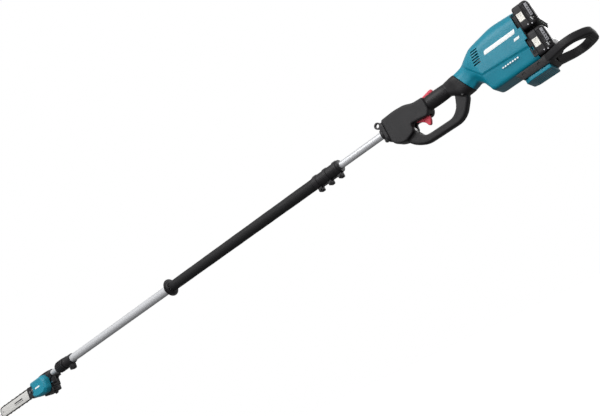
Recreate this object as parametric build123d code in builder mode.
from build123d import *
from math import cos, degrees, atan2, radians, sin, sqrt
import os

# Telescoping pole saw, in millimetres.
# +X runs back towards the battery packs, -X towards the bar tip, +Z up, -Y to the user's left.
# The origin is on the pole axis, where the pole enters the handle.

os.makedirs("parts", exist_ok=True)

# ---------------------------------------------------------------- driving dimensions
# pole
INNER_R = 12.0
INNER_BORE_R = 10.5
OUTER_R = 17.5
OUTER_BORE_R = 16.0
REAR_PIPE_FRONT = -232.0
REAR_PIPE_REAR = 280.0
OUTER_FRONT = -1880.0
OUTER_REAR = -240.0
INNER_FRONT = -1996.0
INNER_REAR = -560.0
FOAM_R = 20.5
FOAM_FRONT = -1075.0
FOAM_REAR = -306.0
FLANGE_X = -1087.0
FLANGE_R = 35.0
JOINT_FRONT = -305.0
JOINT_REAR = -189.0

# drive line
DRIVE_TUBE_R = 4.5
DRIVE_TUBE_BORE_R = 3.3
DRIVE_ROD_R = 3.0
DRIVE_TUBE_FRONT = -1850.0
DRIVE_TUBE_REAR = 298.0
DRIVE_ROD_FRONT = -2010.0
DRIVE_ROD_REAR = -900.0
RUNNING = 0.05

# handle
HANDLE_HALF = 27.0
LOOP_HALF = 14.0
GRIP_HALF = 20.0
GRIP_HEIGHT = 22.5
GRIP_Z = -3.5
NECK_HALF = 33.0
TRIGGER_HALF = 7.0
TRIGGER_PIVOT = (102.0, -24.0)
LEVER_HALF = 5.5
LEVER_PIVOT = (130.0, 16.2)

# motor housing
HOUSING_HALF = 58.0
HOUSING_REAR = 494.0
HOUSING_WALL = 3.0
HOUSING_BOTTOM = -96.0
MOTOR_FRONT = 336.0
MOTOR_REAR = 390.0
STATOR_R = 31.0
STATOR_BORE_R = 17.8
ROTOR_R = 17.2
MOTOR_SHAFT_R = 4.0

# battery packs
PACK_PITCH = 81.0
PACK_TOP_Z = 24.0
PACK_HALF = 36.2
PACK_LEFT = -58.0
PACK_RIGHT = 55.0
PACK_FRONT = 496.5
PACK_REAR = 541.0
PACK_BULGE = 5.0
PACK_SPLIT = 520.0
SHOE_FRONT = 484.0
SHOE_REAR = 496.0
RAIL_HALF = 21.5
RAIL_NECK = 17.3

# guard loop and foot
GUARD_TOP = -95.0
GUARD_BOTTOM = -117.0
GUARD_HALF = 80.0
GUARD_RAIL = 17.0
GUARD_BAR = 23.0
GUARD_REAR = 631.0
FOOT_TOP = -120.3
FOOT_BOTTOM = -132.0

# saw head
HEAD_REAR = -1975.0
HEAD_FRONT = -2150.0
HEAD_LEFT = -14.0
HEAD_RIGHT = 34.0
IDLER_X = -2030.0
BEVEL_PINION_TEETH = 12
BEVEL_GEAR_TEETH = 21
BEVEL_PINION_R = 7.0
BEVEL_GEAR_R = 12.25
SPUR_MODULE = 1.25
SPUR_PINION_TEETH = 14
SPUR_GEAR_TEETH = 28
BAR_Z = -26.0
BAR_Y = -20.0
BAR_HALF = 21.0
BAR_FRONT_X = -2398.0
BAR_BACK_X = -2110.0
CHAIN_DEPTH = 6.0
CHAIN_SEAT_R = 17.5
SPUR_PINION_R = SPUR_MODULE * SPUR_PINION_TEETH / 2
SPUR_GEAR_R = SPUR_MODULE * SPUR_GEAR_TEETH / 2
CENTRE_DISTANCE = SPUR_PINION_R + SPUR_GEAR_R
OUTPUT_X = IDLER_X - sqrt(CENTRE_DISTANCE**2 - BAR_Z**2)


# ---------------------------------------------------------------- shared helpers
def ring_x(start, end, radius, bore=0.0, mode=Mode.ADD):
    """Adds a round piece along X to the part being built."""
    with BuildSketch(Plane.YZ.offset(start), mode=Mode.PRIVATE) as face:
        Circle(radius)
        if bore:
            Circle(bore, mode=Mode.SUBTRACT)
    extrude(face.sketch, amount=end - start, mode=mode)


def ring_y(start, end, x, z, radius, bore=0.0, mode=Mode.ADD):
    """Adds a round piece along Y, centred on (x, z), to the part being built."""
    with BuildSketch(Plane.XZ.offset(-start), mode=Mode.PRIVATE) as face:
        with Locations((x, z)):
            Circle(radius)
            if bore:
                Circle(bore, mode=Mode.SUBTRACT)
    extrude(face.sketch, amount=start - end, mode=mode)


def slab_y(points, start, end, mode=Mode.ADD):
    """Adds a plate with the outline points in X and Z, from y = start to y = end."""
    with BuildSketch(Plane.XZ.offset(-start), mode=Mode.PRIVATE) as face:
        with BuildLine():
            Polyline(points, close=True)
        make_face()
    extrude(face.sketch, amount=start - end, mode=mode)


def block(x0, x1, y0, y1, z0, z1, mode=Mode.ADD):
    """Adds a rectangular block between the given limits."""
    with Locations(((x0 + x1) / 2, (y0 + y1) / 2, (z0 + z1) / 2)):
        Box(x1 - x0, y1 - y0, z1 - z0, mode=mode)


def screw_y(x, z, head_y, tip_y, shank=1.9, head=3.6, head_height=2.5):
    """Adds a screw along Y with its head at head_y."""
    step = head_height if tip_y > head_y else -head_height
    low, high = sorted((head_y, head_y + step))
    ring_y(low, high, x, z, head)
    low, high = sorted((head_y + step, tip_y))
    ring_y(low, high, x, z, shank)


def screw_hole_y(x, z, head_y, tip_y, shank=2.0, head=3.9, head_height=2.5):
    """Cuts the hole for screw_y out of the part being built, open on the head's side."""
    step = head_height if tip_y > head_y else -head_height
    low, high = sorted((head_y - 4 * step, head_y + step))
    ring_y(low, high, x, z, head, mode=Mode.SUBTRACT)
    low, high = sorted((head_y + step, tip_y))
    ring_y(low, high, x, z, shank, mode=Mode.SUBTRACT)


# ---------------------------------------------------------------- handle shells
FRONT_BODY = [(12, 34), (60, 36), (100, 32), (126, 20), (160, 18), (160, -24), (150, -45), (92, -30),
              (90, -54), (50, -68), (20, -56), (12, -40)]
LOOP_OUTSIDE = [(50, -50), (50, -68), (66, -88), (100, -107), (220, -109), (246, -96), (280, -53),
                (262, -24), (120, -20)]
LOOP_INSIDE = [(92, -34), (90, -54), (108, -83), (205, -85), (228, -68), (244, -30), (236, -22),
               (120, -22)]
NECK = [(232, 18), (267.7, 19.5), (298, -50), (272, -58), (246, -34), (232, -25)]
HANDLE_SCREWS = [(24, -46, HANDLE_HALF), (84, 22, HANDLE_HALF), (76, -88, LOOP_HALF),
                 (228, -94, LOOP_HALF), (266, -46, 26.0)]

with BuildPart() as loop_form:
    slab_y(LOOP_OUTSIDE, -LOOP_HALF, LOOP_HALF)
    slab_y(LOOP_INSIDE, -LOOP_HALF, LOOP_HALF, mode=Mode.SUBTRACT)

with BuildPart() as neck_form:
    slab_y(NECK, -NECK_HALF, NECK_HALF)
    with BuildSketch(Plane.XY.offset(-80)):
        with BuildLine():
            Polyline([(230, -19), (278, -NECK_HALF), (310, -NECK_HALF), (310, NECK_HALF),
                      (278, NECK_HALF), (230, 19)], close=True)
        make_face()
    extrude(amount=160, mode=Mode.INTERSECT)

with BuildPart() as handle_form:
    slab_y(FRONT_BODY, -HANDLE_HALF, HANDLE_HALF)
    chamfer(handle_form.faces().filter_by(Axis.Y).edges(), length=5)
    add(loop_form.part)
    add(neck_form.part)
    with BuildSketch(Plane.YZ.offset(120), mode=Mode.PRIVATE) as grip_section:
        with Locations((0, GRIP_Z)):
            Ellipse(GRIP_HALF, GRIP_HEIGHT)
    extrude(grip_section.sketch, amount=140)
    # pipe bore, pockets beside it, and the room for the switch, trigger and lock-off lever
    ring_x(0, 300, INNER_R + 0.05, mode=Mode.SUBTRACT)
    ring_x(REAR_PIPE_REAR + 0.5, 310, 18, mode=Mode.SUBTRACT)
    for start, end in ((16, 36), (42, 58)):
        block(start, end, -HANDLE_HALF + 4, HANDLE_HALF - 4, -38, 28, mode=Mode.SUBTRACT)
    block(62, 92, -13, 13, -52, -13, mode=Mode.SUBTRACT)
    block(91, 152, -TRIGGER_HALF - 0.6, TRIGGER_HALF + 0.6, -70, -13, mode=Mode.SUBTRACT)
    block(122, 194, -LEVER_HALF - 0.6, LEVER_HALF + 0.6, 12.3, 40, mode=Mode.SUBTRACT)
    ring_y(-15, 15, *TRIGGER_PIVOT, 1.5, mode=Mode.SUBTRACT)
    ring_y(-12, 12, *LEVER_PIVOT, 1.5, mode=Mode.SUBTRACT)
    for x, z, half in HANDLE_SCREWS:
        screw_hole_y(x, z, -half + 2, half - 3)

for side, keep in (("left", Keep.TOP), ("right", Keep.BOTTOM)):
    with BuildPart() as handle_shell:
        add(handle_form.part)
        split(bisect_by=Plane.XZ, keep=keep)
    handle_shell.part.label = f"handle_shell_{side}"
    export_step(handle_shell.part, f"parts/handle_shell_{side}.step")

# ---------------------------------------------------------------- nose ring and harness hanger
with BuildPart() as nose_ring:
    with BuildSketch(Plane.YZ):
        with Locations((0, -2)):
            RectangleRounded(54, 68, 16)
        Circle(INNER_R + 0.05, mode=Mode.SUBTRACT)
    extrude(amount=11.7)
    chamfer(nose_ring.faces().sort_by(Axis.X)[0].outer_wire().edges(), length=3)
nose_ring.part.label = "handle_nose_ring"
export_step(nose_ring.part, "parts/handle_nose_ring.step")

HANGER_FRONT = -13.0
HANGER_REAR = -4.0
HANGER_EYE = (-14.0, 33.0)
HANGER_EYE_R = 6.5
HANGER_RIM_R = 11.0
HANGER_TAB_HALF = 4.5
HANGER_SCREW_Z = -21.5
with BuildPart() as hanger:
    with BuildSketch(Plane.YZ.offset(HANGER_FRONT)):
        Circle(17)
        with Locations((0, -20)):
            Rectangle(14, 14)
        Circle(INNER_R, mode=Mode.SUBTRACT)
        with Locations((0, -20)):
            Rectangle(2, 22, mode=Mode.SUBTRACT)
    extrude(amount=HANGER_REAR - HANGER_FRONT)
    # the eye stands on the ring and is open along Y, so a hook can be pushed in from either side
    block(HANGER_FRONT, HANGER_REAR, -HANGER_TAB_HALF, HANGER_TAB_HALF, 14, 27)
    ring_y(-HANGER_TAB_HALF, HANGER_TAB_HALF, *HANGER_EYE, HANGER_RIM_R)
    ring_y(-HANGER_TAB_HALF, HANGER_TAB_HALF, *HANGER_EYE, HANGER_EYE_R, mode=Mode.SUBTRACT)
    ring_y(-8, 8, (HANGER_FRONT + HANGER_REAR) / 2, HANGER_SCREW_Z, 1.6, mode=Mode.SUBTRACT)
hanger.part.label = "harness_hanger"
export_step(hanger.part, "parts/harness_hanger.step")

# ---------------------------------------------------------------- trigger, lock-off lever, switch
with BuildPart() as trigger:
    slab_y([(96, -29), (98, -19), (140, -19), (146, -28), (147, -46), (138, -62), (131, -61), (127, -48),
            (116, -39)], -TRIGGER_HALF, TRIGGER_HALF)
    chamfer(trigger.edges().filter_by(Axis.Y).sort_by(Axis.Z)[:2], length=2)
    ring_y(-TRIGGER_HALF, TRIGGER_HALF, *TRIGGER_PIVOT, 1.5 + RUNNING, mode=Mode.SUBTRACT)
trigger.part.label = "trigger"
export_step(trigger.part, "parts/trigger.step")

with BuildPart() as lock_off_lever:
    slab_y([(125, 15), (127, 19), (160, 24), (184, 29), (190, 27), (190, 19), (134, 13.4), (127, 13.4)],
           -LEVER_HALF, LEVER_HALF)
    ring_y(-LEVER_HALF, LEVER_HALF, *LEVER_PIVOT, 1.5 + RUNNING, mode=Mode.SUBTRACT)
lock_off_lever.part.label = "lock_off_lever"
export_step(lock_off_lever.part, "parts/lock_off_lever.step")

with BuildPart() as switch_module:
    block(63, 89, -12, 12, -50, -14)
    block(89, 90.5, -3, 3, -30, -24)
switch_module.part.label = "switch_module"
export_step(switch_module.part, "parts/switch_module.step")

# ---------------------------------------------------------------- motor housing
HOUSING_SIDE = [(268, 20), (300, 25), (331, 42), (366, 51), (390, 56), (424, 62), (HOUSING_REAR, 56),
                (HOUSING_REAR, HOUSING_BOTTOM), (352, HOUSING_BOTTOM), (336, -60), (322, -44), (299, -51)]
HOUSING_PLAN = [(262, -NECK_HALF), (300, -36), (346, -HOUSING_HALF), (HOUSING_REAR, -HOUSING_HALF),
                (HOUSING_REAR, HOUSING_HALF), (346, HOUSING_HALF), (300, 36), (262, NECK_HALF)]
HOUSING_END = [(-58, 34), (-34, 64), (34, 64), (58, 34), (58, -48), (47, -98), (-47, -98), (-58, -48)]
VENT_COUNT = 6
VENT_PITCH = 7.5
HOUSING_SCREWS = [(312, 14, 34.0), (440, 44, 50.0), (470, -84, 44.0), (366, -84, 44.0)]


def housing_body(inset):
    """Returns the motor housing's outside, or its hollow when inset is above 0."""
    with BuildPart() as form:
        with BuildSketch(Plane.XZ):
            with BuildLine():
                Polyline(HOUSING_SIDE, close=True)
            make_face()
            if inset:
                offset(amount=-inset, kind=Kind.INTERSECTION)
        extrude(amount=80, both=True)
        with BuildSketch(Plane.XY.offset(-120)):
            with BuildLine():
                Polyline(HOUSING_PLAN, close=True)
            make_face()
            if inset:
                offset(amount=-inset, kind=Kind.INTERSECTION)
        extrude(amount=240, mode=Mode.INTERSECT)
        with BuildSketch(Plane.YZ.offset(200)):
            with BuildLine():
                Polyline(HOUSING_END, close=True)
            make_face()
            if inset:
                offset(amount=-inset, kind=Kind.INTERSECTION)
        extrude(amount=340, mode=Mode.INTERSECT)
    return form.part


RIB_SPANS = ((316, 323), (338, 342), (384, 388), (404, 411))
RIB_INSET = HOUSING_WALL - 0.5
RAIL_GATE_HALF = 22.5
housing_outside = housing_body(0)
housing_hollow = housing_body(HOUSING_WALL)
rib_outside = housing_body(RIB_INSET)

with BuildPart() as rib_room:
    # ribs that carry the two bearings and the stator
    for start, end in RIB_SPANS:
        block(start, end, -70, 70, -56, 70)

for side, far_side in (("left", (0, 80)), ("right", (-80, 0))):
    sign = -1 if side == "left" else 1
    with BuildPart() as half_ribs:
        add(rib_outside)
        add(rib_room.part, mode=Mode.INTERSECT)
        block(200, 600, *far_side, -200, 200, mode=Mode.SUBTRACT)
    with BuildPart() as motor_housing:
        add(housing_outside)
        block(200, 600, *far_side, -200, 200, mode=Mode.SUBTRACT)
        add(housing_hollow, mode=Mode.SUBTRACT)
        add(half_ribs.part)
        ring_x(260, 300, 18, mode=Mode.SUBTRACT)
        ring_x(315, 324, 11, mode=Mode.SUBTRACT)
        ring_x(403, 412, 11, mode=Mode.SUBTRACT)
        ring_x(MOTOR_FRONT, MOTOR_REAR, STATOR_R, mode=Mode.SUBTRACT)
        # window for the battery shoe, and the vent slots
        block(SHOE_FRONT - 2, HOUSING_REAR + 2, -52, 52, -86, 46, mode=Mode.SUBTRACT)
        for row in range(VENT_COUNT):
            with Locations((360 - 1.6 * row, sign * HOUSING_HALF, 27 - VENT_PITCH * row)):
                Box(22, 20, 3.5, mode=Mode.SUBTRACT)
        if side == "left":
            # gates in the rear edge that the rails of the two packs slide through
            for centre in (PACK_TOP_Z, PACK_TOP_Z - PACK_PITCH):
                block(SHOE_FRONT + 2, HOUSING_REAR + 2, -HOUSING_HALF - 2, -50,
                      centre - RAIL_GATE_HALF, centre + RAIL_GATE_HALF, mode=Mode.SUBTRACT)
        for x, z, half in HOUSING_SCREWS:
            screw_hole_y(x, z, -half + 4, half - 6)
    motor_housing.part.label = f"motor_housing_{side}"
    export_step(motor_housing.part, f"parts/motor_housing_{side}.step")

# ---------------------------------------------------------------- motor
COIL_COUNT = 6
COIL_R = 23.8
MAGNET_COUNT = 8
FAN_BLADES = 11

with BuildPart() as motor_stator:
    ring_x(MOTOR_FRONT, MOTOR_REAR, STATOR_R, STATOR_R - 4)
    with BuildSketch(Plane.YZ.offset(MOTOR_FRONT)):
        with PolarLocations((STATOR_R + STATOR_BORE_R) / 2, COIL_COUNT):
            Rectangle(STATOR_R - STATOR_BORE_R - 1, 7)
        with PolarLocations(STATOR_BORE_R + 1.5, COIL_COUNT):
            Rectangle(2.6, 13)
        Circle(STATOR_BORE_R, mode=Mode.SUBTRACT)
    extrude(amount=MOTOR_REAR - MOTOR_FRONT)
motor_stator.part.label = "motor_stator"
export_step(motor_stator.part, "parts/motor_stator.step")

with BuildPart() as stator_windings:
    with BuildSketch(Plane.YZ.offset(MOTOR_FRONT - 4)):
        with PolarLocations(COIL_R, COIL_COUNT):
            Rectangle(4.6, 11.6)
        with PolarLocations(COIL_R, COIL_COUNT):
            Rectangle(6, 7.2, mode=Mode.SUBTRACT)
    extrude(amount=MOTOR_REAR - MOTOR_FRONT + 8)
    for start, end in ((MOTOR_FRONT - 4, MOTOR_FRONT - 0.5), (MOTOR_REAR + 0.5, MOTOR_REAR + 4)):
        with BuildSketch(Plane.YZ.offset(start)):
            with PolarLocations(COIL_R, COIL_COUNT):
                Rectangle(4.6, 11.6)
        extrude(amount=end - start)
stator_windings.part.label = "stator_windings"
export_step(stator_windings.part, "parts/stator_windings.step")

with BuildPart() as motor_bearings:
    ring_x(316, 323, 11, MOTOR_SHAFT_R + RUNNING)
    ring_x(404, 411, 11, MOTOR_SHAFT_R + RUNNING)
motor_bearings.part.label = "motor_bearings"
export_step(motor_bearings.part, "parts/motor_bearings.step")

with BuildPart() as motor_rotor:
    ring_x(MOTOR_FRONT, MOTOR_REAR, ROTOR_R - 2, MOTOR_SHAFT_R)
    with BuildSketch(Plane.YZ.offset(MOTOR_FRONT + 1)):
        Circle(ROTOR_R)
        Circle(ROTOR_R - 2, mode=Mode.SUBTRACT)
        with PolarLocations(ROTOR_R - 1, MAGNET_COUNT):
            Rectangle(2.4, 1.2, mode=Mode.SUBTRACT)
    extrude(amount=MOTOR_REAR - MOTOR_FRONT - 2)
motor_rotor.part.label = "motor_rotor"
export_step(motor_rotor.part, "parts/motor_rotor.step")

with BuildPart() as motor_shaft:
    ring_x(DRIVE_TUBE_REAR + 1, 414, MOTOR_SHAFT_R)
motor_shaft.part.label = "motor_shaft"
export_step(motor_shaft.part, "parts/motor_shaft.step")

with BuildPart() as cooling_fan:
    ring_x(395.5, 402, 7, MOTOR_SHAFT_R)
    ring_x(401, 402, 27, MOTOR_SHAFT_R)
    with BuildSketch(Plane.YZ.offset(395.5)):
        with PolarLocations(16.5, FAN_BLADES):
            Rectangle(20, 1.4, rotation=18)
    extrude(amount=6)
cooling_fan.part.label = "cooling_fan"
export_step(cooling_fan.part, "parts/cooling_fan.step")

with BuildPart() as controller_board:
    block(430, 470, -40, 40, -70, -68)
    block(434, 466, -34, 34, -68, -56)
    with Locations((450, 0, -51)):
        with GridLocations(14, 16, 2, 3):
            Cylinder(5, 10)
controller_board.part.label = "controller_board"
export_step(controller_board.part, "parts/controller_board.step")

# ---------------------------------------------------------------- battery shoe and packs
PACK_CENTRES = {"upper": PACK_TOP_Z, "lower": PACK_TOP_Z - PACK_PITCH}
RAIL_LEFT = -50.0
RAIL_RIGHT = 47.5
BLADE_OFFSET = 9.0
CELL_R = 9.1
CELL_LENGTH = 65.0
CELL_PITCH = 19.0
CELL_LAYERS = (511.3, 530.5)
CELLS_PER_LAYER = 5

with BuildPart() as battery_shoe:
    block(SHOE_FRONT, SHOE_REAR, -51.7, 51.7, -85.7, 45.7)
    for centre in PACK_CENTRES.values():
        block(487, 493.2, -60, 48, centre - 22, min(centre + 22, 45), mode=Mode.SUBTRACT)
        block(493, 497, -60, 48, centre - 17.8, centre + 17.8, mode=Mode.SUBTRACT)
battery_shoe.part.label = "battery_shoe"
export_step(battery_shoe.part, "parts/battery_shoe.step")

with BuildPart() as battery_terminals:
    for centre in PACK_CENTRES.values():
        for offset_z in (-BLADE_OFFSET, BLADE_OFFSET):
            z = centre + offset_z
            block(489.6, 490.4, 30, 48, z - 3, z + 3)
battery_terminals.part.label = "battery_terminals"
export_step(battery_terminals.part, "parts/battery_terminals.step")


def pack_form(centre):
    """Returns the outside of one pack: a box along Y with a slightly bulged rear face."""
    with BuildPart() as form:
        with BuildSketch(Plane.XZ.offset(-PACK_RIGHT)):
            with BuildLine():
                Polyline([(PACK_REAR, centre - PACK_HALF + 4), (PACK_REAR - 4, centre - PACK_HALF),
                          (PACK_FRONT, centre - PACK_HALF), (PACK_FRONT, centre + PACK_HALF),
                          (PACK_REAR - 4, centre + PACK_HALF), (PACK_REAR, centre + PACK_HALF - 4)])
                ThreePointArc((PACK_REAR, centre + PACK_HALF - 4), (PACK_REAR + PACK_BULGE, centre),
                              (PACK_REAR, centre - PACK_HALF + 4))
            make_face()
        extrude(amount=PACK_RIGHT - PACK_LEFT)
    return form.part


for name, centre in PACK_CENTRES.items():
    low = centre - PACK_HALF
    high = centre + PACK_HALF
    hollow = (500, PACK_REAR - 1, -46, 51, low + 2.5, high - 2.5)
    button = (500, 517, -60, -49.5, centre - 12.6, centre + 12.6)
    whole_pack = pack_form(centre)
    with BuildPart() as pack_case:
        add(whole_pack)
        block(400, PACK_SPLIT, -70, 70, low - 1, high + 1, mode=Mode.SUBTRACT)
        block(*hollow, mode=Mode.SUBTRACT)
        block(530, 541, PACK_LEFT - 1, PACK_LEFT + 1, centre - 14, centre + 26, mode=Mode.SUBTRACT)
        ring_y(-60, -50, 535.5, centre - 22, 4, mode=Mode.SUBTRACT)
    pack_case.part.label = f"battery_{name}_case"
    export_step(pack_case.part, f"parts/battery_{name}_case.step")

    with BuildPart() as pack_cover:
        add(whole_pack)
        block(PACK_SPLIT, 600, -70, 70, low - 1, high + 1, mode=Mode.SUBTRACT)
        block(*hollow, mode=Mode.SUBTRACT)
        block(492.5, PACK_FRONT, RAIL_LEFT, RAIL_RIGHT, centre - RAIL_NECK, centre + RAIL_NECK)
        block(487.5, 492.8, RAIL_LEFT, RAIL_RIGHT, centre - RAIL_HALF, min(centre + RAIL_HALF, 44.7))
        for offset_z in (-BLADE_OFFSET, BLADE_OFFSET):
            z = centre + offset_z
            block(489, 491, 28, RAIL_RIGHT + 1, z - 3.6, z + 3.6, mode=Mode.SUBTRACT)
        block(*button, mode=Mode.SUBTRACT)
    pack_cover.part.label = f"battery_{name}_cover"
    export_step(pack_cover.part, f"parts/battery_{name}_cover.step")

    with BuildPart() as pack_cells:
        for x in CELL_LAYERS:
            for cell in range(CELLS_PER_LAYER):
                y = 2.5 + CELL_PITCH * (cell - (CELLS_PER_LAYER - 1) / 2)
                with Locations((x, y, centre)):
                    Cylinder(CELL_R, CELL_LENGTH)
    pack_cells.part.label = f"battery_{name}_cells"
    export_step(pack_cells.part, f"parts/battery_{name}_cells.step")

    with BuildPart() as release_button:
        block(500.4, 516.6, PACK_LEFT, PACK_LEFT + 4.5, centre - 12.2, centre + 12.2)
    release_button.part.label = f"battery_{name}_release_button"
    export_step(release_button.part, f"parts/battery_{name}_release_button.step")

    with BuildPart() as check_button:
        ring_y(PACK_LEFT - 1, PACK_LEFT + 5, 535.5, centre - 22, 3.6)
    check_button.part.label = f"battery_{name}_check_button"
    export_step(check_button.part, f"parts/battery_{name}_check_button.step")

# ---------------------------------------------------------------- guard loop and foot
GUARD_SCREWS = ((439, -108), (484, -108))
with BuildPart() as battery_guard:
    with BuildSketch(Plane.XY.offset(GUARD_BOTTOM)):
        with BuildLine():
            Polyline([(504, -50), (556, -GUARD_HALF), (590, -GUARD_HALF), (GUARD_REAR, -48),
                      (GUARD_REAR, 48), (590, GUARD_HALF), (556, GUARD_HALF), (504, 50)], close=True)
        make_face()
        fillet(vertices().sort_by(Axis.X)[2:], radius=16)
        with BuildLine():
            Polyline([(520, -30), (560, -GUARD_HALF + GUARD_RAIL), (584, -GUARD_HALF + GUARD_RAIL),
                      (GUARD_REAR - GUARD_BAR, -38), (GUARD_REAR - GUARD_BAR, 38),
                      (584, GUARD_HALF - GUARD_RAIL), (560, GUARD_HALF - GUARD_RAIL), (520, 30)],
                     close=True)
        make_face(mode=Mode.SUBTRACT)
    extrude(amount=GUARD_TOP - GUARD_BOTTOM)
    slab_y([(418, -99), (HOUSING_REAR, -98.2), (HOUSING_REAR + 12, GUARD_TOP), (520, GUARD_TOP),
            (520, GUARD_BOTTOM), (506, FOOT_TOP), (430, FOOT_TOP)], -50, 50)
    for x, z in GUARD_SCREWS:
        screw_hole_y(x, z, -48, -24)
        screw_hole_y(x, z, 48, 24)
battery_guard.part.label = "battery_guard"
export_step(battery_guard.part, "parts/battery_guard.step")

with BuildPart() as base_foot:
    with BuildSketch(Plane.XY.offset(FOOT_BOTTOM)):
        with BuildLine():
            Polyline([(430, -34), (444, -46), (506, -46), (506, 46), (444, 46), (430, 34)], close=True)
        make_face()
    extrude(amount=FOOT_TOP - FOOT_BOTTOM)
base_foot.part.label = "base_foot"
export_step(base_foot.part, "parts/base_foot.step")

with BuildPart() as powerhead_fasteners:
    for x, z, half in HANDLE_SCREWS:
        screw_y(x, z, -half + 2, half - 3)
    for x, z, half in HOUSING_SCREWS:
        screw_y(x, z, -half + 4, half - 6)
    for x, z in GUARD_SCREWS:
        screw_y(x, z, -48, -24)
        screw_y(x, z, 48, 24)
    screw_y((HANGER_FRONT + HANGER_REAR) / 2, HANGER_SCREW_Z, -9.5, 7, shank=1.5, head=3)
    ring_y(-14.8, 14.8, *TRIGGER_PIVOT, 1.5)
    ring_y(-11.8, 11.8, *LEVER_PIVOT, 1.5)
powerhead_fasteners.part.label = "powerhead_fasteners"
export_step(powerhead_fasteners.part, "parts/powerhead_fasteners.step")

# ---------------------------------------------------------------- pole
with BuildPart() as rear_pipe:
    ring_x(REAR_PIPE_FRONT, REAR_PIPE_REAR, INNER_R, INNER_BORE_R)
rear_pipe.part.label = "rear_pipe"
export_step(rear_pipe.part, "parts/rear_pipe.step")

with BuildPart() as outer_pipe:
    ring_x(OUTER_FRONT, OUTER_REAR, OUTER_R, OUTER_BORE_R)
outer_pipe.part.label = "outer_pipe"
export_step(outer_pipe.part, "parts/outer_pipe.step")

with BuildPart() as fore_grip:
    ring_x(FOAM_FRONT, FOAM_REAR, FOAM_R, OUTER_R)
    chamfer(fore_grip.edges().filter_by(GeomType.CIRCLE).sort_by(SortBy.RADIUS)[-2:], length=2)
fore_grip.part.label = "fore_grip_foam"
export_step(fore_grip.part, "parts/fore_grip_foam.step")

with BuildPart() as hand_stop:
    with BuildSketch(Plane.XZ):
        with BuildLine():
            Polyline([(FLANGE_X - 12, OUTER_R), (FLANGE_X - 12, 24), (FLANGE_X - 3, 27),
                      (FLANGE_X + 1, FLANGE_R), (FLANGE_X + 5, FLANGE_R), (FLANGE_X + 4, 27),
                      (FLANGE_X + 11.7, 23), (FLANGE_X + 11.7, OUTER_R)], close=True)
        make_face()
    revolve(axis=Axis.X)
hand_stop.part.label = "hand_stop_flange"
export_step(hand_stop.part, "parts/hand_stop_flange.step")

BOSS_STATIONS = (-290.0, -247.0, -204.0)
BOSS_Z = -29.0
with BuildPart() as joint_clamp:
    ring_x(JOINT_FRONT, JOINT_REAR, 21.5)
    for station in BOSS_STATIONS:
        ring_x(station - 6, station + 6, 24)
        block(station - 8, station + 8, -9, 9, BOSS_Z - 8, -14)
    ring_x(JOINT_FRONT - 1, OUTER_REAR + 2, OUTER_R, mode=Mode.SUBTRACT)
    ring_x(OUTER_REAR + 1, JOINT_REAR + 1, INNER_R, mode=Mode.SUBTRACT)
    block(JOINT_FRONT - 1, JOINT_REAR + 1, -1.5, 1.5, BOSS_Z - 9, -11, mode=Mode.SUBTRACT)
    for station in BOSS_STATIONS:
        ring_y(-10, 10, station, BOSS_Z, 2.6, mode=Mode.SUBTRACT)
joint_clamp.part.label = "pipe_joint_clamp"
export_step(joint_clamp.part, "parts/pipe_joint_clamp.step")

REAR_BUSHES = (-205.0, 20.0, 200.0)
OUTER_BUSHES = (-330.0, -500.0)
with BuildPart() as shaft_bushes:
    for start in REAR_BUSHES:
        ring_x(start, start + 14, INNER_BORE_R, DRIVE_TUBE_R + RUNNING)
    for start in OUTER_BUSHES:
        ring_x(start, start + 14, OUTER_BORE_R, DRIVE_TUBE_R + RUNNING)
shaft_bushes.part.label = "shaft_bushes"
export_step(shaft_bushes.part, "parts/shaft_bushes.step")

with BuildPart() as drive_tube:
    ring_x(DRIVE_TUBE_FRONT, DRIVE_TUBE_REAR, DRIVE_TUBE_R, DRIVE_TUBE_BORE_R)
    ring_x(286, DRIVE_TUBE_REAR + 1, 9, DRIVE_TUBE_R)
    ring_x(DRIVE_TUBE_REAR + 1, 312, 9, MOTOR_SHAFT_R)
drive_tube.part.label = "rear_drive_shaft"
export_step(drive_tube.part, "parts/rear_drive_shaft.step")

# ---------------------------------------------------------------- telescoping clamp
CLAMP_FRONT = -1909.0
CLAMP_SPLIT = -1850.0
CLAMP_REAR = -1794.0
COLLAR_RIBS = 20
PINCH_X = -1812.0
PINCH_Z = -35.0
with BuildPart() as clamp_base:
    ring_x(CLAMP_SPLIT, CLAMP_REAR, 23, OUTER_R)
    ring_x(CLAMP_SPLIT + 8, CLAMP_SPLIT + 20, 25, OUTER_R)
    block(PINCH_X - 14, PINCH_X + 14, -9, 9, -44, -19)
    block(CLAMP_SPLIT + 22, CLAMP_REAR + 1, -1.5, 1.5, -45, -16, mode=Mode.SUBTRACT)
    ring_y(-10, 10, PINCH_X, PINCH_Z, 2.6, mode=Mode.SUBTRACT)
clamp_base.part.label = "telescope_clamp_base"
export_step(clamp_base.part, "parts/telescope_clamp_base.step")

with BuildPart() as pole_bolts:
    for station in BOSS_STATIONS:
        screw_y(station, BOSS_Z, -13, 9, shank=2.5, head=4.2, head_height=4)
    screw_y(PINCH_X, PINCH_Z, -13, 9, shank=2.5, head=4.2, head_height=4)
pole_bolts.part.label = "pole_clamp_bolts"
export_step(pole_bolts.part, "parts/pole_clamp_bolts.step")

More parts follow.
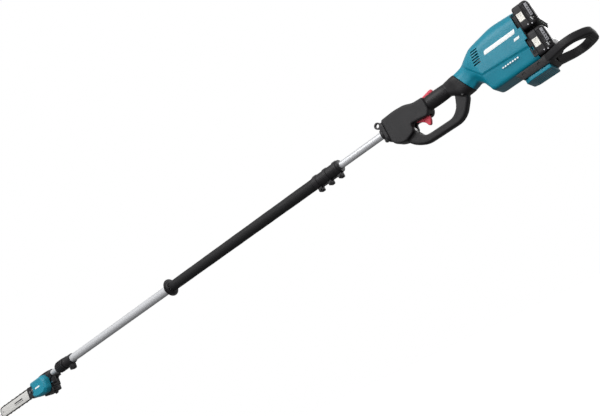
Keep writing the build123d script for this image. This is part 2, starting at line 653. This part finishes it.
with BuildPart() as collet:
    ring_x(OUTER_FRONT, OUTER_FRONT + 34, OUTER_BORE_R, INNER_R + 0.3)
    ring_x(OUTER_FRONT - 2, OUTER_FRONT, OUTER_R, INNER_R + 0.3)
    with BuildSketch(Plane.XZ):
        with BuildLine():
            Polyline([(-1904, 12.3), (-1904, 13.6), (OUTER_FRONT - 2, 16), (OUTER_FRONT - 2, 12.3)],
                     close=True)
        make_face()
    revolve(axis=Axis.X)
    with BuildSketch(Plane.YZ.offset(-1905)):
        with PolarLocations(14, 6):
            Rectangle(8, 1.6)
    extrude(amount=18, mode=Mode.SUBTRACT)
collet.part.label = "pipe_collet"
export_step(collet.part, "parts/pipe_collet.step")

with BuildPart() as twist_collar:
    ring_x(CLAMP_FRONT, CLAMP_SPLIT - 0.5, 25.5)
    with BuildSketch(Plane.YZ.offset(CLAMP_FRONT + 6)):
        with PolarLocations(25.5, COLLAR_RIBS):
            Rectangle(3, 4)
    extrude(amount=46)
    chamfer(twist_collar.faces().sort_by(Axis.X)[0].edges(), length=3)
    ring_x(CLAMP_FRONT - 1, CLAMP_SPLIT, INNER_R + 0.4, mode=Mode.SUBTRACT)
    ring_x(CLAMP_FRONT + 4, CLAMP_SPLIT, 16.4, mode=Mode.SUBTRACT)
    ring_x(OUTER_FRONT - 2.5, CLAMP_SPLIT, OUTER_R + 0.3, mode=Mode.SUBTRACT)
twist_collar.part.label = "twist_collar"
export_step(twist_collar.part, "parts/twist_collar.step")

with BuildPart() as inner_pipe:
    ring_x(INNER_FRONT, INNER_REAR, INNER_R, INNER_BORE_R)
inner_pipe.part.label = "inner_pipe"
export_step(inner_pipe.part, "parts/inner_pipe.step")

with BuildPart() as tail_bush:
    ring_x(INNER_REAR - 24, INNER_REAR, OUTER_BORE_R - 0.3, INNER_R)
    ring_x(INNER_REAR, INNER_REAR + 6, OUTER_BORE_R - 0.3, DRIVE_TUBE_R + RUNNING)
tail_bush.part.label = "inner_pipe_tail_bush"
export_step(tail_bush.part, "parts/inner_pipe_tail_bush.step")

with BuildPart() as drive_rod:
    ring_x(DRIVE_ROD_FRONT, DRIVE_ROD_REAR, DRIVE_ROD_R)
drive_rod.part.label = "front_drive_shaft"
export_step(drive_rod.part, "parts/front_drive_shaft.step")

# ---------------------------------------------------------------- saw head: gearbox
HEAD_SIDE = [(-1965, 16), (-2000, 19), (-2052, 19), (-2100, 6), (-2150, 1), (-2150, -54), (-2100, -56),
             (-1990, -56), (-1990, -22), (-1965, -17)]
GEAR_ROOM = (-2056.0, -2008.0)
COVER_RIGHT = 41.0
STUDS = ((-2126.0, BAR_Z), (-2088.0, BAR_Z))
HEAD_SCREWS = ((-2140, -10), (-2140, -46), (-2100, -50), (-2000, -50), (-1972, -16), (-2062, 4))
CLAMP_BOLT = (-1974.0, -38.0)
OUTPUT_R = 5.0
IDLER_R = 4.0
BEARING_R = 8.0
OUTPUT_BEARING_R = 9.5
TENSION_Z = -14.0
TENSION_Y = -6.0

with BuildPart() as gearbox:
    slab_y(HEAD_SIDE, HEAD_LEFT, HEAD_RIGHT)
    chamfer(gearbox.faces().sort_by(Axis.Y)[-1].edges(), length=3)
    block(CLAMP_BOLT[0] - 10, CLAMP_BOLT[0] + 9, -9, 9, -46, -20)
    block(GEAR_ROOM[0], GEAR_ROOM[1], -9, HEAD_RIGHT + 1, -47, 14.6, mode=Mode.SUBTRACT)
    block(-2144, GEAR_ROOM[0] - 6, 2, HEAD_RIGHT + 1, -46, -5, mode=Mode.SUBTRACT)
    ring_x(INNER_FRONT, -1960, INNER_R, mode=Mode.SUBTRACT)
    ring_x(-2009, INNER_FRONT, 9, mode=Mode.SUBTRACT)
    ring_y(HEAD_LEFT - 1, -8, IDLER_X, 0, BEARING_R, mode=Mode.SUBTRACT)
    ring_y(HEAD_LEFT - 1, -8, OUTPUT_X, BAR_Z, OUTPUT_BEARING_R, mode=Mode.SUBTRACT)
    for x, z in STUDS:
        ring_y(HEAD_LEFT - 1, 1, x, z, 3.5, mode=Mode.SUBTRACT)
    for x, z in HEAD_SCREWS:
        ring_y(HEAD_RIGHT - 14, HEAD_RIGHT + 1, x, z, 2.0, mode=Mode.SUBTRACT)
    block(CLAMP_BOLT[0] - 11, CLAMP_BOLT[0] + 10, -1.5, 1.5, -47, -11, mode=Mode.SUBTRACT)
    ring_y(-10, 10, *CLAMP_BOLT, 2.6, mode=Mode.SUBTRACT)
    with BuildSketch(Plane.YZ.offset(-2151), mode=Mode.PRIVATE) as tension_hole:
        with Locations((TENSION_Y, TENSION_Z)):
            Circle(2.6)
    extrude(tension_hole.sketch, amount=26, mode=Mode.SUBTRACT)
gearbox.part.label = "gearbox_housing"
export_step(gearbox.part, "parts/gearbox_housing.step")

with BuildPart() as gearbox_cover:
    slab_y(HEAD_SIDE, HEAD_RIGHT, COVER_RIGHT)
    chamfer(gearbox_cover.faces().sort_by(Axis.Y)[-1].edges(), length=3)
    ring_y(HEAD_RIGHT - 1, 39, IDLER_X, 0, BEARING_R, mode=Mode.SUBTRACT)
    ring_y(HEAD_RIGHT - 1, 39, OUTPUT_X, BAR_Z, OUTPUT_BEARING_R, mode=Mode.SUBTRACT)
    for x, z in HEAD_SCREWS:
        screw_hole_y(x, z, COVER_RIGHT, HEAD_RIGHT - 1)
gearbox_cover.part.label = "gearbox_cover"
export_step(gearbox_cover.part, "parts/gearbox_cover.step")

with BuildPart() as gear_bearings:
    ring_x(-2005, INNER_FRONT - 0.5, 9, DRIVE_ROD_R + RUNNING)
    for start in (HEAD_LEFT, HEAD_RIGHT):
        ring_y(start, start + 5, IDLER_X, 0, BEARING_R, IDLER_R + RUNNING)
        ring_y(start, start + 5, OUTPUT_X, BAR_Z, OUTPUT_BEARING_R, OUTPUT_R + RUNNING)
gear_bearings.part.label = "gear_bearings"
export_step(gear_bearings.part, "parts/gear_bearings.step")

# ---------------------------------------------------------------- saw head: gears
CONE_INNER = 0.72
TOOTH_WIDTH = 1.0
TOOTH_RISE = 0.6
TOOTH_ROOT = 1.0
PINION_BACK = -2006.5

# the two ends of the bevel cones: distance from the apex along +X, and the pinion's radius there
near = (CONE_INNER * BEVEL_GEAR_R, CONE_INNER * BEVEL_PINION_R)
far = (BEVEL_GEAR_R, BEVEL_PINION_R)

with BuildPart() as pinion_tooth:
    with BuildSketch(Plane.XY.offset(-TOOTH_WIDTH / 2)):
        with BuildLine():
            Polyline([(IDLER_X + near[0], near[1] - 1.1), (IDLER_X + near[0], near[1] + TOOTH_RISE),
                      (IDLER_X + far[0], far[1] + TOOTH_RISE), (IDLER_X + far[0], far[1] - 2)], close=True)
        make_face()
    extrude(amount=TOOTH_WIDTH)

with BuildPart() as bevel_pinion:
    with BuildSketch(Plane.XZ):
        with BuildLine():
            Polyline([(IDLER_X + near[0], DRIVE_ROD_R), (IDLER_X + near[0], near[1] - TOOTH_ROOT),
                      (IDLER_X + far[0], far[1] - TOOTH_ROOT), (PINION_BACK, far[1] - TOOTH_ROOT),
                      (PINION_BACK, DRIVE_ROD_R)], close=True)
        make_face()
    revolve(axis=Axis.X)
    for tooth in range(BEVEL_PINION_TEETH):
        add(pinion_tooth.part.rotate(Axis.X, 360 / BEVEL_PINION_TEETH * tooth))
bevel_pinion.part.label = "bevel_pinion"
export_step(bevel_pinion.part, "parts/bevel_pinion.step")

IDLER_AXIS = Axis((IDLER_X, 0, 0), (0, 1, 0))
SPUR_START = 17.0
SPUR_END = 25.0
with BuildPart() as bevel_tooth:
    with BuildSketch(Plane.XY.offset(-TOOTH_WIDTH / 2)):
        with BuildLine():
            Polyline([(IDLER_X + near[0] + 0.1, near[1] - TOOTH_RISE),
                      (IDLER_X + far[0] - 0.15, far[1] - TOOTH_RISE),
                      (IDLER_X + far[0] - 0.15, far[1] + 2), (IDLER_X + near[0] + 0.1, near[1] + 1.3)],
                     close=True)
        make_face()
    extrude(amount=TOOTH_WIDTH)

with BuildPart() as idler_gear:
    ring_y(HEAD_LEFT + 0.3, 38.7, IDLER_X, 0, IDLER_R)
    with BuildSketch(Plane.XY):
        with BuildLine():
            Polyline([(IDLER_X + IDLER_R, near[1] + TOOTH_ROOT), (IDLER_X + near[0], near[1] + TOOTH_ROOT),
                      (IDLER_X + far[0], far[1] + TOOTH_ROOT), (IDLER_X + far[0], 13),
                      (IDLER_X + IDLER_R - 0.5, 13), (IDLER_X + IDLER_R - 0.5, near[1] + TOOTH_ROOT)],
                     close=True)
        make_face()
    revolve(axis=IDLER_AXIS)
    for tooth in range(BEVEL_GEAR_TEETH):
        add(bevel_tooth.part.rotate(IDLER_AXIS, 360 / BEVEL_GEAR_TEETH * (tooth + 0.5)))
    # the spur pinion has a tooth pointing at the output gear
    ring_y(SPUR_START, SPUR_END, IDLER_X, 0, SPUR_PINION_R - 1.4)
    mesh_angle = degrees(atan2(BAR_Z, OUTPUT_X - IDLER_X))
    for tooth in range(SPUR_PINION_TEETH):
        with BuildSketch(Plane.XZ.offset(-SPUR_END), mode=Mode.PRIVATE) as tooth_face:
            with Locations(Location((IDLER_X, 0), mesh_angle + 360 / SPUR_PINION_TEETH * tooth)):
                with Locations((SPUR_PINION_R - 0.7, 0)):
                    Rectangle(3.2, 1.5)
        extrude(tooth_face.sketch, amount=SPUR_END - SPUR_START)
idler_gear.part.label = "idler_gear"
export_step(idler_gear.part, "parts/idler_gear.step")

with BuildPart() as output_gear:
    ring_y(-26, 38.7, OUTPUT_X, BAR_Z, OUTPUT_R)
    ring_y(SPUR_START, SPUR_END, OUTPUT_X, BAR_Z, SPUR_GEAR_R - 1.4)
    for tooth in range(SPUR_GEAR_TEETH):
        turn = mesh_angle + 180 + 360 / SPUR_GEAR_TEETH * (tooth + 0.5)
        with BuildSketch(Plane.XZ.offset(-SPUR_END), mode=Mode.PRIVATE) as tooth_face:
            with Locations(Location((OUTPUT_X, BAR_Z), turn)):
                with Locations((SPUR_GEAR_R - 0.7, 0)):
                    Rectangle(3.2, 1.5)
        extrude(tooth_face.sketch, amount=SPUR_END - SPUR_START)
output_gear.part.label = "output_gear"
export_step(output_gear.part, "parts/output_gear.step")

# ---------------------------------------------------------------- saw head: bar and chain
BAR_THICK = 4.0
BAR_SLOT = 64.0
CHAIN_WIDE = 5.6
SPROCKET_TEETH = 6
NOSE_TEETH = 7
NOSE_R = 20.4
NOSE_PIN_R = 4.0


def chain_outline(grow):
    """Draws the closed run of the chain in the sketch being built, grown outwards."""
    with Locations((OUTPUT_X, BAR_Z)):
        Circle(CHAIN_SEAT_R + grow)
    with Locations((BAR_BACK_X, BAR_Z), (BAR_FRONT_X, BAR_Z)):
        Circle(BAR_HALF + grow)
    make_hull()


with BuildPart() as drive_sprocket:
    ring_y(BAR_Y - 3.4, BAR_Y + 3.4, OUTPUT_X, BAR_Z, CHAIN_SEAT_R - 4.5, OUTPUT_R)
    for tooth in range(SPROCKET_TEETH):
        with BuildSketch(Plane.XZ.offset(-BAR_Y - 2.4), mode=Mode.PRIVATE) as tooth_face:
            with Locations(Location((OUTPUT_X, BAR_Z), 360 / SPROCKET_TEETH * tooth)):
                with Locations((CHAIN_SEAT_R - 4.0, 0)):
                    Rectangle(7, 6)
        extrude(tooth_face.sketch, amount=4.8)
    ring_y(BAR_Y - 5, BAR_Y + 5, OUTPUT_X, BAR_Z, OUTPUT_R, mode=Mode.SUBTRACT)
drive_sprocket.part.label = "drive_sprocket"
export_step(drive_sprocket.part, "parts/drive_sprocket.step")

with BuildPart() as nose_sprocket:
    ring_y(BAR_Y - 0.6, BAR_Y + 0.6, BAR_FRONT_X, BAR_Z, NOSE_R - 3, NOSE_PIN_R + RUNNING)
    for tooth in range(NOSE_TEETH):
        with BuildSketch(Plane.XZ.offset(-BAR_Y - 0.6), mode=Mode.PRIVATE) as tooth_face:
            with Locations(Location((BAR_FRONT_X, BAR_Z), 360 / NOSE_TEETH * tooth)):
                with Locations((NOSE_R - 3, 0)):
                    Rectangle(6, 5)
        extrude(tooth_face.sketch, amount=1.2)
nose_sprocket.part.label = "nose_sprocket"
export_step(nose_sprocket.part, "parts/nose_sprocket.step")

with BuildPart() as guide_bar:
    with BuildSketch(Plane.XZ.offset(-BAR_Y - BAR_THICK / 2)):
        with Locations((BAR_BACK_X, BAR_Z), (BAR_FRONT_X, BAR_Z)):
            Circle(BAR_HALF)
        with Locations((BAR_BACK_X + 32, BAR_Z)):
            Circle(14)
        make_hull()
        with Locations((BAR_BACK_X, BAR_Z)):
            SlotOverall(BAR_SLOT, 7.4, mode=Mode.SUBTRACT)
    extrude(amount=BAR_THICK)
    ring_y(BAR_Y - 0.9, BAR_Y + 0.9, BAR_FRONT_X, BAR_Z, BAR_HALF + 1, mode=Mode.SUBTRACT)
    ring_y(BAR_Y - 0.9, BAR_Y + 0.9, BAR_FRONT_X, BAR_Z, NOSE_PIN_R)
guide_bar.part.label = "guide_bar"
export_step(guide_bar.part, "parts/guide_bar.step")

CUTTER_PITCH = 37.2
TOP_RUN = (-2138.0, -2385.0)
with BuildPart() as saw_chain:
    with BuildSketch(Plane.XZ.offset(-BAR_Y - CHAIN_WIDE / 2)):
        chain_outline(CHAIN_DEPTH - 1)
        with BuildSketch(mode=Mode.PRIVATE) as chain_seat:
            chain_outline(0)
        add(chain_seat.sketch, mode=Mode.SUBTRACT)
    extrude(amount=CHAIN_WIDE)
    cutter_count = int((TOP_RUN[0] - TOP_RUN[1]) / CUTTER_PITCH) + 1
    for cutter in range(cutter_count):
        x = TOP_RUN[0] - CUTTER_PITCH * cutter
        for edge in (BAR_Z - BAR_HALF - CHAIN_DEPTH, BAR_Z + BAR_HALF + CHAIN_DEPTH):
            block(x - 6, x + 6, BAR_Y - 3.4, BAR_Y + 3.4, edge - 1.2, edge + 1.2)
saw_chain.part.label = "saw_chain"
export_step(saw_chain.part, "parts/saw_chain.step")

# ---------------------------------------------------------------- saw head: cover and fasteners
COVER_LEFT = -46.0
COVER_SIDE = [(-2096, 9), (-2002, 9), (-1984, -14), (-1984, -54), (-2004, -72), (-2060, -72), (-2096, -62)]
PLATE_FRONT = -2152.0
PLATE_REAR = -2099.0
PLATE_LEFT = -29.0
NUT_R = 6.0

with BuildPart() as sprocket_cover:
    slab_y(COVER_SIDE, COVER_LEFT, HEAD_LEFT - 0.5)
    chamfer(sprocket_cover.faces().sort_by(Axis.Y)[0].edges(), length=7)
    slab_y([(-2110, 5.5), (-2004, 5.5), (-1987.5, -15), (-1987.5, -52.5), (-2005, -68.5), (-2060, -68.5),
            (-2110, -59)], COVER_LEFT + 4, HEAD_LEFT + 1, mode=Mode.SUBTRACT)
    block(-2110, -2080, COVER_LEFT - 1, BAR_Y - 6, -64, 11, mode=Mode.SUBTRACT)
    slab_y([(-2080, 2), (-2095, 2), (-2095, -56), (-2080, -56)], COVER_LEFT + 8, COVER_LEFT + 12)
    block(-2082, -2078, COVER_LEFT + 1, BAR_Y - 6, -60, 4)
    ring_y(-40, -30, *STUDS[1], 3.6, mode=Mode.SUBTRACT)
sprocket_cover.part.label = "sprocket_cover"
export_step(sprocket_cover.part, "parts/sprocket_cover.step")

with BuildPart() as bar_clamp_plate:
    block(PLATE_FRONT, PLATE_REAR, PLATE_LEFT, BAR_Y - 4, -53, -1)
    block(-2140, PLATE_REAR - 2, BAR_Y - 4.5, BAR_Y - BAR_THICK / 2, -42, -12)
    ring_y(PLATE_LEFT - 1, BAR_Y, *STUDS[0], 3.6, mode=Mode.SUBTRACT)
bar_clamp_plate.part.label = "bar_clamp_plate"
export_step(bar_clamp_plate.part, "parts/bar_clamp_plate.step")

with BuildPart() as head_fasteners:
    for x, z in HEAD_SCREWS:
        screw_y(x, z, COVER_RIGHT, HEAD_RIGHT - 12)
    screw_y(*CLAMP_BOLT, -13, 9, shank=2.5, head=4.2, head_height=4)
    for (x, z), seat in ((STUDS[0], PLATE_LEFT), (STUDS[1], COVER_LEFT + 8)):
        ring_y(seat - 7, 0, x, z, 3.4)
        with BuildSketch(Plane.XZ.offset(-seat), mode=Mode.PRIVATE) as nut_face:
            with Locations((x, z)):
                RegularPolygon(NUT_R, 6)
        extrude(nut_face.sketch, amount=5)
    with BuildSketch(Plane.YZ.offset(-2156), mode=Mode.PRIVATE) as tension_screw:
        with Locations((TENSION_Y, TENSION_Z)):
            Circle(2.5)
    extrude(tension_screw.sketch, amount=28)
head_fasteners.part.label = "saw_head_fasteners"
export_step(head_fasteners.part, "parts/saw_head_fasteners.step")

# ---------------------------------------------------------------- saw head: oil tank, cap, hook
TANK_BOTTOM = -78.0
CAP_X = -1996.0
CAP_Y = 8.0
with BuildPart() as oil_tank:
    with BuildSketch(Plane.XY.offset(TANK_BOTTOM)):
        with Locations((-2022, 10)):
            RectangleRounded(76, 46, 6)
    extrude(amount=-56.3 - TANK_BOTTOM)
    block(-2056, -2012, -9, 29, -75, -59, mode=Mode.SUBTRACT)
    with Locations((CAP_X, CAP_Y, TANK_BOTTOM + 8)):
        Cylinder(5.1, 18, mode=Mode.SUBTRACT)
    slab_y([(-1986, -58), (-1966, -58), (-1946, -80), (-1950, -84), (-1968, -68), (-1986, -68)], -3, 3)
    block(-2016, -1997, 5, 11, -74, -66, mode=Mode.SUBTRACT)
oil_tank.part.label = "oil_tank"
export_step(oil_tank.part, "parts/oil_tank.step")

with BuildPart() as oil_cap:
    with Locations((CAP_X, CAP_Y, TANK_BOTTOM - 4.8)):
        Cylinder(9, 9)
    with Locations((CAP_X, CAP_Y, TANK_BOTTOM + 3)):
        Cylinder(5.05, 8)
    with Locations((CAP_X, CAP_Y, TANK_BOTTOM - 11)):
        Box(16, 3, 4)
oil_cap.part.label = "oil_cap"
export_step(oil_cap.part, "parts/oil_cap.step")
